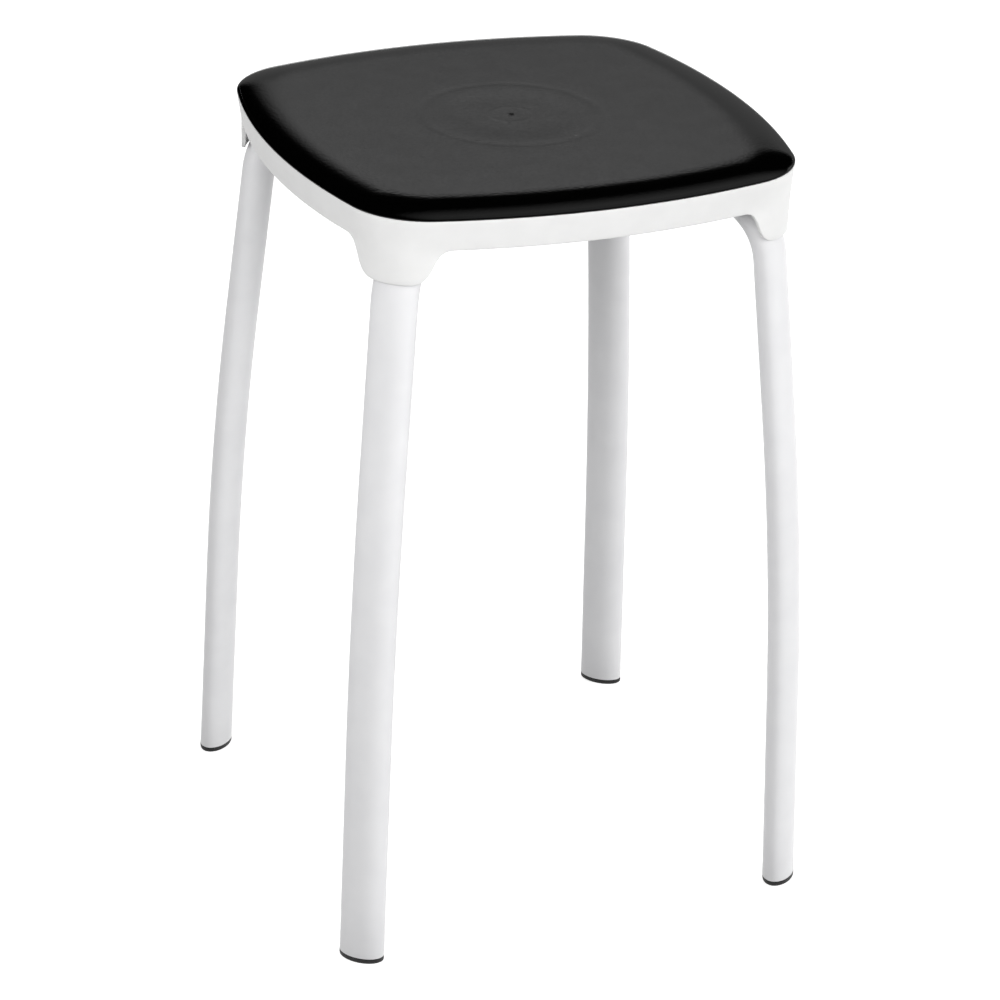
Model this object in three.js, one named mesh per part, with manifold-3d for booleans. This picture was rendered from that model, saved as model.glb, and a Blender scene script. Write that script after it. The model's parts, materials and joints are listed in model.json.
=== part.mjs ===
// Stacking stool: a black moulded seat top in a white moulded frame, carried by two bent
// oval tubes that cross under the seat, with a black glide in each foot.
// Millimetres, +Z up, the origin on the floor under the middle of the seat.
// The front is -Y; the two tubes stand in the vertical planes through the seat's corners.

import * as THREE from 'three';
import { mergeVertices } from 'three/addons/utils/BufferGeometryUtils.js';
import Module from 'manifold-3d';

const wasm = await Module();
wasm.setup();

// Whole stool
const seatHeight = 450;
const seatWidth = 284;
const seam = 0.3;
const cutOverrun = 2;

// Seat outline: four long shallow arcs joined by four corner arcs
const sideRadius = 400;
const cornerRadius = 48;

// Seat top
const crownHeight = 5.8;
const crownReach = 29.5;
const topWall = 3;
const edgeChamfer = 0.4;
const undersideSlope = 10;
const ribThickness = 1.8;
const registerInset = 3.4;
const gateRingRadius = 12;
const outerRingRadius = 38;
const radialRibs = 12;
const gateRadius = 1.1;
const gateDepth = 0.6;

// Seat frame
const trayDepth = 3.7;
const deckThickness = 2.5;
const frameWall = 2.3;
const skirtHeight = 17.7;
const skirtLean = 3;
const tongueLean = 1.2;
const tongueDrop = 37.5;
const tongueRootWidth = 50;
const tongueTipWidth = 40.5;
const tongueRootFillet = 6;
const tongueTipRound = 8;
const lipChamfer = 0.4;
const saddleWall = 2;
const saddleGap = 0.4;
const saddleDepth = 11;
const saddleStart = 50;
const deckRibHeight = 6;
const deckRibThickness = 1.8;
const outerRibInset = 56;

// Bent tubes
const tubeWidth = 27;
const tubeDepth = 17.3;
const tubeWall = 1.5;
const bendRadius = 42;
const bowRadius = 2225;
const bowHeight = 214;
const lowerSplay = THREE.MathUtils.degToRad(2.27);
const upperSplay = THREE.MathUtils.degToRad(6.75);
const crossWiden = 1.1;
const crossFlat = 20;
const crossBlend = 22;

// Foot glides
const glideFlange = 3;
const glideChamfer = 0.6;
const glidePlug = 21;
const glideFinGap = 0.3;
const glideFinDepth = 1.1;
const glideFinHeight = 1.6;
const glideFins = 3;

// Fasteners
const boltRadius = 3;
const boltHeadRadius = 5.2;
const boltHeadHeight = 4;
const boltSocketWidth = 4;
const boltSocketDepth = 2.4;
const nutWidth = 10;
const nutHeight = 4.6;
const washerRadius = 9;
const washerThickness = 1.6;
const screwRadius = 2;
const screwHeadRadius = 4.2;
const screwHeadHeight = 2.6;
const screwTip = 2;
const legScrewInset = 31;
const seatScrewInset = 38;
const bossWall = 2.8;
const threadGap = 0.3;
const saddleWasherRadius = 7;
const saddleWasherEdge = 2.6;

// Facets
const sideSteps = 6;
const cornerSteps = 8;
const crownSteps = 6;
const bowSteps = 4;
const bendSteps = 8;
const filletSteps = 4;
const tubeSides = 20;
const boreSides = 10;
const roundSides = 16;
const screwSides = 12;
const outerRingSides = 24;

// Heights and places that follow from the sizes above
const lipZ = seatHeight - crownHeight;
const deckTop = lipZ - trayDepth;
const deckBottom = deckTop - deckThickness;
const skirtBottom = lipZ - skirtHeight;
const tongueTip = lipZ - tongueDrop;
const topUnderside = seatHeight - topWall;
const runZ = deckBottom - seam - tubeDepth / 2;
const runBottom = runZ - tubeDepth / 2;
const seatHalf = seatWidth / 2;
const tubeClear = tubeWidth / 2 + saddleGap;
const quarterTurn = Math.PI / 2;

// The corner arc touches both side arcs, so its centre lies on the diagonal where the
// distance to a side arc's centre is the difference of the two radii.
const sideCentre = sideRadius - seatHalf;
const radiusGap = sideRadius - cornerRadius;
const cornerCentre = (Math.sqrt(2 * radiusGap ** 2 - sideCentre ** 2) - sideCentre) / 2;
const blendAngle = Math.atan2(cornerCentre, sideCentre + cornerCentre);
const cornerReach = Math.hypot(cornerCentre, cornerCentre) + cornerRadius;

// The bend's outer face touches the inside of the tongue at the tongue's tip, and this
// places the whole leg.
const bendTangent = bendRadius * Math.tan((quarterTurn - upperSplay) / 2);
const bendOuter = bendRadius + tubeDepth / 2;
const tipBelowCentre = tongueTip - (runZ - bendRadius);
const bendReachAtTip = Math.sqrt(bendOuter ** 2 - tipBelowCentre ** 2);
const tongueInnerReach = cornerReach - tongueLean - frameWall;
const bendEnd = tongueInnerReach - saddleGap - bendReachAtTip;
const bendCorner = bendEnd + bendTangent;
const bowCorner = bendCorner + (runZ - bowHeight) * Math.tan(upperSplay);
const footReach = bowCorner + bowHeight * Math.tan(lowerSplay);
const legScrewReach = bendEnd - legScrewInset;
const seatScrewReach = seatHalf - seatScrewInset;
const outerRibReach = seatHalf - outerRibInset;
const innerRibReach = (saddleStart + tubeClear + saddleWall) / Math.SQRT2;

const materials = {
  blackMoulding: { color: 0x2c2c2d, roughness: 0.5, metalness: 0 },
  whiteMoulding: { color: 0xf1f1ef, roughness: 0.45, metalness: 0 },
  whiteCoat: { color: 0xe9eaec, roughness: 0.35, metalness: 0.1 },
  glideBlack: { color: 0x1b1b1c, roughness: 0.6, metalness: 0 },
  zinc: { color: 0xb9bcc0, roughness: 0.35, metalness: 0.9 },
};

const stool = new THREE.Group();

function addPart(name, body, finish, place = {}) {
  const mesh = new THREE.Mesh(toGeometry(body), new THREE.MeshStandardMaterial(materials[finish]));
  mesh.name = name;
  mesh.position.set(place.x ?? 0, place.y ?? 0, 0);
  mesh.rotation.z = place.turn ?? 0;
  stool.add(mesh);
}

// A closed geometry becomes a solid with its faces pointing out.
function toSolid(geometry) {
  const bare = geometry.clone();
  bare.deleteAttribute('normal');
  bare.deleteAttribute('uv');
  const merged = mergeVertices(bare);
  const places = merged.attributes.position.array;
  const triangles = new Uint32Array(merged.index.array);
  if (signedVolume(places, triangles) < 0) {
    for (let i = 0; i < triangles.length; i += 3) {
      [triangles[i], triangles[i + 1]] = [triangles[i + 1], triangles[i]];
    }
  }
  return new wasm.Manifold(
    new wasm.Mesh({ numProp: 3, vertProperties: places, triVerts: triangles }),
  );
}

function signedVolume(places, triangles) {
  const a = new THREE.Vector3();
  const b = new THREE.Vector3();
  const c = new THREE.Vector3();
  let total = 0;
  for (let i = 0; i < triangles.length; i += 3) {
    a.fromArray(places, triangles[i] * 3);
    b.fromArray(places, triangles[i + 1] * 3);
    c.fromArray(places, triangles[i + 2] * 3);
    total += a.dot(b.cross(c));
  }
  return total;
}

function toGeometry(body) {
  const mesh = body.getMesh();
  const geometry = new THREE.BufferGeometry();
  const stride = mesh.numProp;
  const places = new Float32Array((mesh.vertProperties.length / stride) * 3);
  for (let i = 0; i < places.length / 3; i += 1) {
    places.set(mesh.vertProperties.subarray(i * stride, i * stride + 3), i * 3);
  }
  geometry.setAttribute('position', new THREE.BufferAttribute(places, 3));
  geometry.setIndex(new THREE.BufferAttribute(new Uint32Array(mesh.triVerts), 1));
  geometry.computeVertexNormals();
  return geometry;
}

function joined(bodies) {
  return bodies.reduce((sum, body) => sum.add(body));
}

// Upright round bar from one height to another
function post(radius, low, high, x = 0, y = 0, sides = roundSides) {
  const geometry = new THREE.CylinderGeometry(radius, radius, high - low, sides);
  geometry.rotateX(quarterTurn);
  geometry.translate(x, y, (low + high) / 2);
  return toSolid(geometry);
}

// A closed outline of [radius, height] pairs turned about the upright axis
function turned(profile, sides = roundSides) {
  const points = profile.map(([radius, height]) => new THREE.Vector2(radius, height));
  const geometry = new THREE.LatheGeometry(points, sides);
  geometry.rotateX(quarterTurn);
  return toSolid(geometry);
}

function ring(inner, outer, low, high, sides) {
  return turned(
    [[inner, low], [outer, low], [outer, high], [inner, high], [inner, low]],
    sides,
  );
}

function upright(shape, low, high) {
  const geometry = new THREE.ExtrudeGeometry(shape, {
    depth: high - low,
    bevelEnabled: false,
  });
  geometry.translate(0, 0, low);
  return toSolid(geometry);
}

// Places of the four legs, by the corner that each stands under
const corners = [
  { name: 'front_left', angle: -3 * quarterTurn / 2 },
  { name: 'front_right', angle: -quarterTurn / 2 },
  { name: 'back_right', angle: quarterTurn / 2 },
  { name: 'back_left', angle: 3 * quarterTurn / 2 },
];
const sides = [
  { name: 'front', angle: -quarterTurn },
  { name: 'right', angle: 0 },
  { name: 'back', angle: quarterTurn },
  { name: 'left', angle: 2 * quarterTurn },
];

function along(angle, reach) {
  return [reach * Math.cos(angle), reach * Math.sin(angle)];
}

// Stations on the seat outline. Each holds its place, its outward direction, and how far
// it has turned from the corner's diagonal (0) to the side (1).
function arcStations(centre, radius, from, to, steps, turn) {
  const arc = new THREE.EllipseCurve(centre.x, centre.y, radius, radius, from, to);
  const points = arc.getPoints(steps).slice(0, -1);
  return points.map((point) => {
    const outward = point.clone().sub(centre).normalize();
    const offDiagonal = Math.abs(outward.angle() - quarterTurn / 2);
    const share = Math.min(1, Math.min(offDiagonal, 4 * quarterTurn - offDiagonal)
      / (quarterTurn / 2 - blendAngle));
    const origin = new THREE.Vector2();
    return {
      point: point.rotateAround(origin, turn),
      outward: outward.rotateAround(origin, turn),
      sideShare: share * share * (3 - 2 * share),
    };
  });
}

const stations = [0, 1, 2, 3].flatMap((quarter) => {
  const turn = quarter * quarterTurn;
  const side = new THREE.Vector2(-sideCentre, 0);
  const corner = new THREE.Vector2(cornerCentre, cornerCentre);
  return [
    ...arcStations(side, sideRadius, -blendAngle, blendAngle, sideSteps, turn),
    ...arcStations(corner, cornerRadius, blendAngle, quarterTurn - blendAngle, cornerSteps, turn),
  ];
});

function ringAt(height, insetOf) {
  return stations.map((station) => {
    const inset = insetOf(station);
    return new THREE.Vector3(
      station.point.x - inset * station.outward.x,
      station.point.y - inset * station.outward.y,
      height,
    );
  });
}

function outlineShape(inset) {
  return new THREE.Shape(ringAt(0, () => inset).map((v) => new THREE.Vector2(v.x, v.y)));
}

// Skin through a list of equal rings: closed on itself, or capped at both ends
function lofted(rings, closed) {
  const count = rings[0].length;
  const places = rings.flat().flatMap((v) => [v.x, v.y, v.z]);
  const triangles = [];
  const bands = closed ? rings.length : rings.length - 1;
  for (let i = 0; i < bands; i += 1) {
    const low = i * count;
    const high = ((i + 1) % rings.length) * count;
    for (let j = 0; j < count; j += 1) {
      const next = (j + 1) % count;
      triangles.push(low + j, low + next, high + next);
      triangles.push(low + j, high + next, high + j);
    }
  }
  if (!closed) {
    [[rings[0], 0, -1], [rings.at(-1), (rings.length - 1) * count, 1]].forEach(([cap, start, up]) => {
      const middle = places.length / 3;
      places.push(0, 0, cap[0].z);
      for (let j = 0; j < count; j += 1) {
        const next = (j + 1) % count;
        const pair = up > 0 ? [start + j, start + next] : [start + next, start + j];
        triangles.push(middle, ...pair);
      }
    });
  }
  const geometry = new THREE.BufferGeometry();
  geometry.setAttribute('position', new THREE.Float32BufferAttribute(places, 3));
  geometry.setIndex(triangles);
  return toSolid(geometry);
}

// Seat top

// The crown is a quarter of an ellipse: upright at the rim, level where the flat begins.
function crown() {
  const start = lipZ + seam;
  const rise = seatHeight - start - edgeChamfer;
  const rings = [ringAt(start, () => edgeChamfer)];
  for (let i = 0; i <= crownSteps; i += 1) {
    const share = i / crownSteps;
    const angle = (quarterTurn * share * (1 + share)) / 2;
    const inset = crownReach * (1 - Math.cos(angle));
    rings.push(ringAt(start + edgeChamfer + rise * Math.sin(angle), () => inset));
  }
  return lofted(rings, false);
}

// The hollow under the crown, inside the rib that drops into the frame's tray
function seatHollow() {
  const inset = registerInset + ribThickness;
  return lofted([
    ringAt(deckTop - cutOverrun, () => inset),
    ringAt(lipZ + seam, () => inset),
    ringAt(topUnderside, () => inset + undersideSlope),
  ], false);
}

function radialRib(angle) {
  const length = cornerReach - gateRingRadius;
  const geometry = new THREE.BoxGeometry(length, ribThickness, seatHeight - deckBottom);
  geometry.translate(gateRingRadius + length / 2, 0, (seatHeight + deckBottom) / 2);
  geometry.rotateZ(angle);
  return toSolid(geometry);
}

function ringRib(radius, count) {
  const half = ribThickness / 2;
  return ring(radius - half, radius + half, deckBottom, seatHeight, count);
}

function seatRibs() {
  const ribs = [ringRib(gateRingRadius, roundSides), ringRib(outerRingRadius, outerRingSides)];
  for (let i = 0; i < radialRibs; i += 1) {
    ribs.push(radialRib((i / radialRibs) * 4 * quarterTurn));
  }
  return joined(ribs);
}

function seatPosts(radius, low, high) {
  return joined(sides.map(({ angle }) => post(radius, low, high, ...along(angle, seatScrewReach),
    screwSides)));
}

function seatTop() {
  const plinth = upright(outlineShape(registerInset), deckTop + seam, lipZ + seam + edgeChamfer);
  const bosses = seatPosts(screwRadius + bossWall, deckBottom, seatHeight);
  const hollow = seatHollow().subtract(seatRibs()).subtract(bosses);
  const bores = seatPosts(screwRadius + threadGap, deckBottom, topUnderside);
  const gate = turned([
    [0, seatHeight - gateDepth],
    [gateRadius, seatHeight + gateDepth],
    [0, seatHeight + gateDepth],
  ], screwSides);
  return crown().add(plinth).subtract(hollow).subtract(bores).subtract(gate);
}

// Seat frame

function leanAt(station, height) {
  const below = lipZ - height;
  const sideLean = (skirtLean * Math.min(below, skirtHeight)) / skirtHeight;
  const cornerLean = (tongueLean * below) / tongueDrop;
  return cornerLean + (sideLean - cornerLean) * station.sideShare;
}

function skirtWall() {
  const bottom = tongueTip - cutOverrun;
  const levels = [bottom, skirtBottom, lipZ - lipChamfer];
  const outside = levels.map((z) => ringAt(z, (station) => leanAt(station, z)));
  const inside = levels.map((z) => ringAt(z, (station) => leanAt(station, z) + frameWall)).reverse();
  const lip = ringAt(lipZ, () => lipChamfer);
  const lipInside = ringAt(lipZ, () => frameWall);
  return lofted([...outside, lip, lipInside, ...inside], true);
}

// The gap between two tongues, seen square on to a side of the seat: level along the
// skirt's lower edge, filleted down each tongue and rounded out at its tip.
function windowShape() {
  const root = seatHalf - tongueRootWidth;
  const tip = seatHalf - tongueTipWidth;
  const slope = (tip - root) / (skirtBottom - tongueTip);
  const filletDrop = tongueRootFillet * slope;
  const roundRise = tongueTipRound * slope;
  const far = seatHalf + cutOverrun;
  const floorZ = tongueTip - 2 * cutOverrun;
  const shape = new THREE.Shape();
  shape.moveTo(-far, floorZ);
  shape.lineTo(far, floorZ);
  shape.lineTo(far, tongueTip);
  shape.lineTo(tip + tongueTipRound, tongueTip);
  shape.quadraticCurveTo(tip, tongueTip, tip - roundRise, tongueTip + tongueTipRound);
  shape.lineTo(root + filletDrop, skirtBottom - tongueRootFillet);
  shape.quadraticCurveTo(root, skirtBottom, root - tongueRootFillet, skirtBottom);
  shape.lineTo(-root + tongueRootFillet, skirtBottom);
  shape.quadraticCurveTo(-root, skirtBottom, -root - filletDrop, skirtBottom - tongueRootFillet);
  shape.lineTo(-tip + roundRise, tongueTip + tongueTipRound);
  shape.quadraticCurveTo(-tip, tongueTip, -tip - tongueTipRound, tongueTip);
  shape.lineTo(-far, tongueTip);
  return shape;
}

function windowCut(turn) {
  const depth = seatWidth + 2 * cutOverrun;
  const geometry = new THREE.ExtrudeGeometry(windowShape(), {
    depth,
    bevelEnabled: false,
    curveSegments: filletSteps,
  });
  geometry.translate(0, 0, -depth / 2);
  geometry.rotateX(quarterTurn);
  geometry.rotateZ(turn);
  return toSolid(geometry);
}

// Two walls hold each tube sideways, from near the crossing out to the corner. They end
// above the skirt's lower edge, so none shows beside a tongue.
function saddleSide(angle, side) {
  const high = deckBottom + deckThickness / 2;
  const height = deckThickness / 2 + saddleDepth;
  const length = cornerReach - saddleStart;
  const middle = side * (tubeClear + saddleWall / 2);
  const geometry = new THREE.BoxGeometry(length, saddleWall, height);
  geometry.translate(saddleStart + length / 2, middle, high - height / 2);
  geometry.rotateZ(angle);
  return toSolid(geometry);
}

// The space that the tubes take under the deck
function tubeChannel(angle) {
  const height = 2 * deckRibHeight;
  const geometry = new THREE.BoxGeometry(2 * cornerReach, 2 * tubeClear, height);
  geometry.translate(0, 0, deckBottom - height / 2);
  geometry.rotateZ(angle);
  return toSolid(geometry);
}

// Ribs under the deck: two squares round the crossing, and a spoke out to each side
function deckRibs() {
  const high = deckBottom + deckThickness / 2;
  const height = deckThickness / 2 + deckRibHeight;
  const ribs = sides.flatMap(({ angle }) => {
    const squares = [innerRibReach, outerRibReach].map((reach) => {
      const geometry = new THREE.BoxGeometry(deckRibThickness, 2 * reach, height);
      return geometry.translate(reach, 0, high - height / 2);
    });
    const length = seatHalf - innerRibReach;
    const spoke = new THREE.BoxGeometry(length, deckRibThickness, height);
    spoke.translate(innerRibReach + length / 2, 0, high - height / 2);
    return [...squares, spoke].map((geometry) => toSolid(geometry.rotateZ(angle)));
  });
  return joined(ribs).subtract(tubeChannel(quarterTurn / 2)).subtract(tubeChannel(-quarterTurn / 2));
}

function skirtCore() {
  const levels = [tongueTip - cutOverrun, skirtBottom, lipZ];
  return lofted(
    levels.map((z) => ringAt(z, (station) => leanAt(station, z) + frameWall / 2)),
    false,
  );
}

function hexBar(width, low, high) {
  return post(width / Math.sqrt(3), low, high, 0, 0, 6);
}

function legPosts(radius, low, high) {
  return joined(corners.map(({ angle }) => post(radius, low, high, ...along(angle, legScrewReach),
    screwSides)));
}

function seatFrame() {
  const nutTop = deckTop + seam + nutHeight;
  const deckMiddle = deckBottom + deckThickness / 2;
  const cupLow = deckBottom - deckRibHeight;
  const cupRadius = screwHeadRadius + threadGap;
  const deckInset = (skirtLean * (lipZ - deckBottom)) / skirtHeight + frameWall / 2;
  const wall = skirtWall().subtract(windowCut(0)).subtract(windowCut(quarterTurn));
  const saddles = corners.flatMap(({ angle }) => [-1, 1].map((side) => saddleSide(angle, side)));
  const added = joined([
    upright(outlineShape(deckInset), deckBottom, deckTop),
    joined([...saddles, deckRibs()]).intersect(skirtCore()),
    post(nutWidth / Math.sqrt(3) + bossWall, deckMiddle, nutTop),
    legPosts(screwRadius + bossWall, deckMiddle, topUnderside - seam),
    seatPosts(cupRadius + deckRibThickness, cupLow, deckMiddle),
  ]);
  const cut = joined([
    hexBar(nutWidth + 2 * threadGap, deckTop, nutTop + cutOverrun),
    post(boltRadius + threadGap, deckBottom - cutOverrun, nutTop),
    legPosts(screwRadius + threadGap, deckBottom - cutOverrun, seatHeight),
    seatPosts(cupRadius, cupLow - cutOverrun, deckBottom),
    seatPosts(screwRadius + threadGap, cupLow, deckTop + cutOverrun),
  ]);
  return wall.add(added).subtract(cut);
}

// Bent tubes

// The route of one tube in its own upright plane, X across the stool and Z up.
function legRoute() {
  const points = [];
  const lower = new THREE.Vector2(-Math.sin(lowerSplay), Math.cos(lowerSplay));
  const upper = new THREE.Vector2(-Math.sin(upperSplay), Math.cos(upperSplay));
  const foot = new THREE.Vector2(footReach, 0);
  points.push(foot.clone().addScaledVector(lower, -cutOverrun));
  const bowTangent = bowRadius * Math.tan((upperSplay - lowerSplay) / 2);
  const bowStart = new THREE.Vector2(bowCorner, bowHeight).addScaledVector(lower, -bowTangent);
  const bowCentre = bowStart.clone()
    .add(new THREE.Vector2(-Math.cos(lowerSplay), -Math.sin(lowerSplay)).multiplyScalar(bowRadius));
  const bow = new THREE.EllipseCurve(bowCentre.x, bowCentre.y, bowRadius, bowRadius,
    lowerSplay, upperSplay);
  points.push(...bow.getPoints(bowSteps));
  const bend = new THREE.EllipseCurve(bendEnd, runZ - bendRadius, bendRadius, bendRadius,
    upperSplay, quarterTurn);
  points.push(...bend.getPoints(bendSteps));
  points.push(new THREE.Vector2(crossFlat + crossBlend, runZ));
  points.push(new THREE.Vector2(crossFlat + crossBlend / 2, runZ));
  points.push(new THREE.Vector2(crossFlat, runZ));
  return points;
}

// A curve that stands a section at each point of its route
class TubeRoute extends THREE.Curve {
  constructor(points) {
    super();
    this.points = points;
  }

  getPoint(t, target = new THREE.Vector3()) {
    const last = this.points.length - 1;
    const place = Math.min(t * last, last);
    const index = Math.min(Math.floor(place), last - 1);
    return target.lerpVectors(this.points[index], this.points[index + 1], place - index);
  }

  getPointAt(u, target) {
    return this.getPoint(u, target);
  }

  getTangentAt(u, target = new THREE.Vector3()) {
    const last = this.points.length - 1;
    const index = Math.round(u * last);
    const before = this.points[Math.max(index - 1, 0)];
    const here = this.points[index];
    const after = this.points[Math.min(index + 1, last)];
    const inwards = here.clone().sub(before).normalize();
    const onwards = after.clone().sub(here).normalize();
    return target.copy(inwards).add(onwards).normalize();
  }
}

function ovalShape(width, depth, count) {
  const shape = new THREE.Shape();
  shape.absellipse(0, 0, width / 2, depth / 2, 0, 4 * quarterTurn);
  return new THREE.Shape(shape.getPoints(count / 2).slice(0, -1));
}

// The press that flattens a tube where the two cross: half the depth, a little wider,
// and pushed up or down so that the outer face stays level with the rest of the run.
function pressed(geometry, width, depth, level) {
  const places = geometry.attributes.position;
  const flatDepth = (tubeDepth - seam) / 2 - (tubeDepth - depth);
  const flatWidth = tubeWidth * crossWiden - (tubeWidth - width);
  const shift = (level * (tubeDepth + seam)) / 4;
  for (let i = 0; i < places.count; i += 1) {
    const away = Math.abs(places.getX(i));
    const share = THREE.MathUtils.smoothstep(crossFlat + crossBlend - away, 0, crossBlend);
    const rise = places.getZ(i) - runZ;
    places.setY(i, places.getY(i) * (1 + share * (flatWidth / width - 1)));
    places.setZ(i, runZ + rise * (1 + share * (flatDepth / depth - 1)) + share * shift);
  }
  return geometry;
}

function tubeSkin(width, depth, count, level) {
  const half = legRoute().map((v) => new THREE.Vector3(v.x, 0, v.y));
  const otherHalf = half.map((v) => new THREE.Vector3(-v.x, 0, v.z)).reverse();
  const route = new TubeRoute([...half, ...otherHalf]);
  const geometry = new THREE.ExtrudeGeometry(ovalShape(width, depth, count), {
    steps: route.points.length - 1,
    extrudePath: route,
  });
  return toSolid(pressed(geometry, width, depth, level));
}

function legHoop(level) {
  const outside = tubeSkin(tubeWidth, tubeDepth, tubeSides, level);
  const bore = tubeSkin(tubeWidth - 2 * tubeWall, tubeDepth - 2 * tubeWall, boreSides, level);
  const span = 2 * (footReach + tubeWidth);
  const floor = new THREE.BoxGeometry(span, 2 * tubeWidth, 2 * tubeWidth);
  floor.translate(0, 0, glideFlange + seam - tubeWidth);
  const holes = [
    post(boltRadius + threadGap, runBottom - cutOverrun, deckBottom),
    ...[-1, 1].map((side) => post(screwRadius + threadGap, runBottom - cutOverrun, deckBottom,
      side * legScrewReach)),
  ];
  return outside.subtract(bore).subtract(toSolid(floor)).subtract(joined(holes));
}

// Foot glides

function ovalBar(width, depth, low, high) {
  return upright(ovalShape(width, depth, boreSides), low, high);
}

function footGlide() {
  const flange = new THREE.ExtrudeGeometry(
    ovalShape(tubeWidth - 2 * glideChamfer, tubeDepth - 2 * glideChamfer, tubeSides),
    {
      depth: glideFlange - 2 * glideChamfer,
      bevelThickness: glideChamfer,
      bevelSize: glideChamfer,
      bevelSegments: 1,
    },
  );
  flange.rotateZ(quarterTurn);
  flange.translate(0, 0, glideChamfer);
  const finWidth = tubeWidth - 2 * tubeWall - 2 * glideFinGap;
  const finDepth = tubeDepth - 2 * tubeWall - 2 * glideFinGap;
  const pitch = glidePlug / (glideFins + 1);
  const plug = [ovalBar(finWidth - 2 * glideFinDepth, finDepth - 2 * glideFinDepth,
    -glideFlange / 2, glidePlug)];
  for (let i = 1; i <= glideFins; i += 1) {
    plug.push(ovalBar(finWidth, finDepth, i * pitch, i * pitch + glideFinHeight));
  }
  const leaned = joined(plug)
    .rotate([0, 0, 90])
    .rotate([0, THREE.MathUtils.radToDeg(-lowerSplay), 0])
    .translate([-glideFlange * Math.tan(lowerSplay), 0, glideFlange]);
  return toSolid(flange).add(leaned);
}

// Fasteners

// A round-headed screw that points up, its head's bearing face at the given height
function screw(bearing, tip) {
  const crown = screwHeadHeight / 4;
  return turned([
    [0, bearing - screwHeadHeight],
    [screwHeadRadius - crown, bearing - screwHeadHeight],
    [screwHeadRadius, bearing - screwHeadHeight + crown],
    [screwHeadRadius, bearing],
    [screwRadius, bearing],
    [screwRadius, tip - screwTip],
    [0, tip],
  ], screwSides);
}

// A thick washer whose upper face is hollowed to the tube's underside
function saddleWasher() {
  const low = runBottom - seam - saddleWasherEdge;
  const blank = post(saddleWasherRadius, low, runBottom + saddleWasherRadius / 2);
  const length = 2 * (saddleWasherRadius + cutOverrun);
  const tube = new THREE.ExtrudeGeometry(
    ovalShape(tubeWidth + 2 * seam, tubeDepth + 2 * seam, tubeSides),
    { depth: length, bevelEnabled: false },
  );
  tube.rotateX(quarterTurn);
  tube.rotateZ(quarterTurn);
  tube.translate(-length / 2, 0, runZ);
  const hole = post(screwRadius + threadGap, low - cutOverrun, runZ, 0, 0, screwSides);
  return blank.subtract(toSolid(tube)).subtract(hole);
}

function centreBolt(bearing, tip) {
  const blank = turned([
    [0, bearing - boltHeadHeight],
    [boltHeadRadius - edgeChamfer, bearing - boltHeadHeight],
    [boltHeadRadius, bearing - boltHeadHeight + edgeChamfer],
    [boltHeadRadius, bearing],
    [boltRadius, bearing],
    [boltRadius, tip - edgeChamfer],
    [boltRadius - edgeChamfer, tip],
    [0, tip],
  ]);
  const low = bearing - boltHeadHeight;
  return blank.subtract(hexBar(boltSocketWidth, low - cutOverrun, low + boltSocketDepth));
}

// Assembly

addPart('seat_top', seatTop(), 'blackMoulding');
addPart('seat_frame', seatFrame(), 'whiteMoulding');

// The upper tube runs from the front left foot to the back right one.
addPart('leg_hoop_upper', legHoop(1), 'whiteCoat', { turn: quarterTurn / 2 });
addPart('leg_hoop_lower', legHoop(-1), 'whiteCoat', { turn: -quarterTurn / 2 });

const glide = footGlide();
const curvedWasher = saddleWasher();
const legScrew = screw(runBottom - 2 * seam - saddleWasherEdge, topUnderside - 2 * seam);
corners.forEach(({ name, angle }) => {
  const [footX, footY] = along(angle, footReach);
  const [x, y] = along(angle, legScrewReach);
  addPart(`foot_glide_${name}`, glide, 'glideBlack', { x: footX, y: footY, turn: angle });
  addPart(`saddle_washer_${name}`, curvedWasher, 'glideBlack', { x, y, turn: angle });
  addPart(`leg_screw_${name}`, legScrew, 'zinc', { x, y });
});

const seatScrew = screw(deckBottom - seam, topUnderside - seam);
sides.forEach(({ name, angle }) => {
  const [x, y] = along(angle, seatScrewReach);
  addPart(`seat_screw_${name}`, seatScrew, 'zinc', { x, y });
});

const washerTop = runBottom - seam;
const washerLow = washerTop - washerThickness;
const nutLow = deckTop + seam;
const nutHigh = nutLow + nutHeight;
const nutBore = post(boltRadius + threadGap, deckTop - cutOverrun, seatHeight);
addPart('centre_washer', ring(boltRadius + threadGap, washerRadius, washerLow, washerTop), 'zinc');
addPart('centre_bolt', centreBolt(washerLow - seam, nutHigh), 'zinc');
addPart('centre_nut', hexBar(nutWidth, nutLow, nutHigh).subtract(nutBore), 'zinc');

export default stool;
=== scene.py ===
# %% [markdown]
# A stacking stool, dressed for its picture
#
# The stool is a black moulded seat top in a white moulded frame, on four legs that are the ends
# of two bent tubes, with a black glide in each foot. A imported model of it, the frame of this
# script, already holds every piece at its real size and place, but in flat facets. Here each
# piece that shows is modelled again with smooth faces, inside the facets' space, and every
# surface gets its finish.
#
# Lengths are in metres, +Z is up, the floor is at zero, and the long side of the seat that faces
# the viewer is -Y.

# %% Load the frame
import json
import math

import bmesh
import bpy
from mathutils import Matrix, Vector


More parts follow.
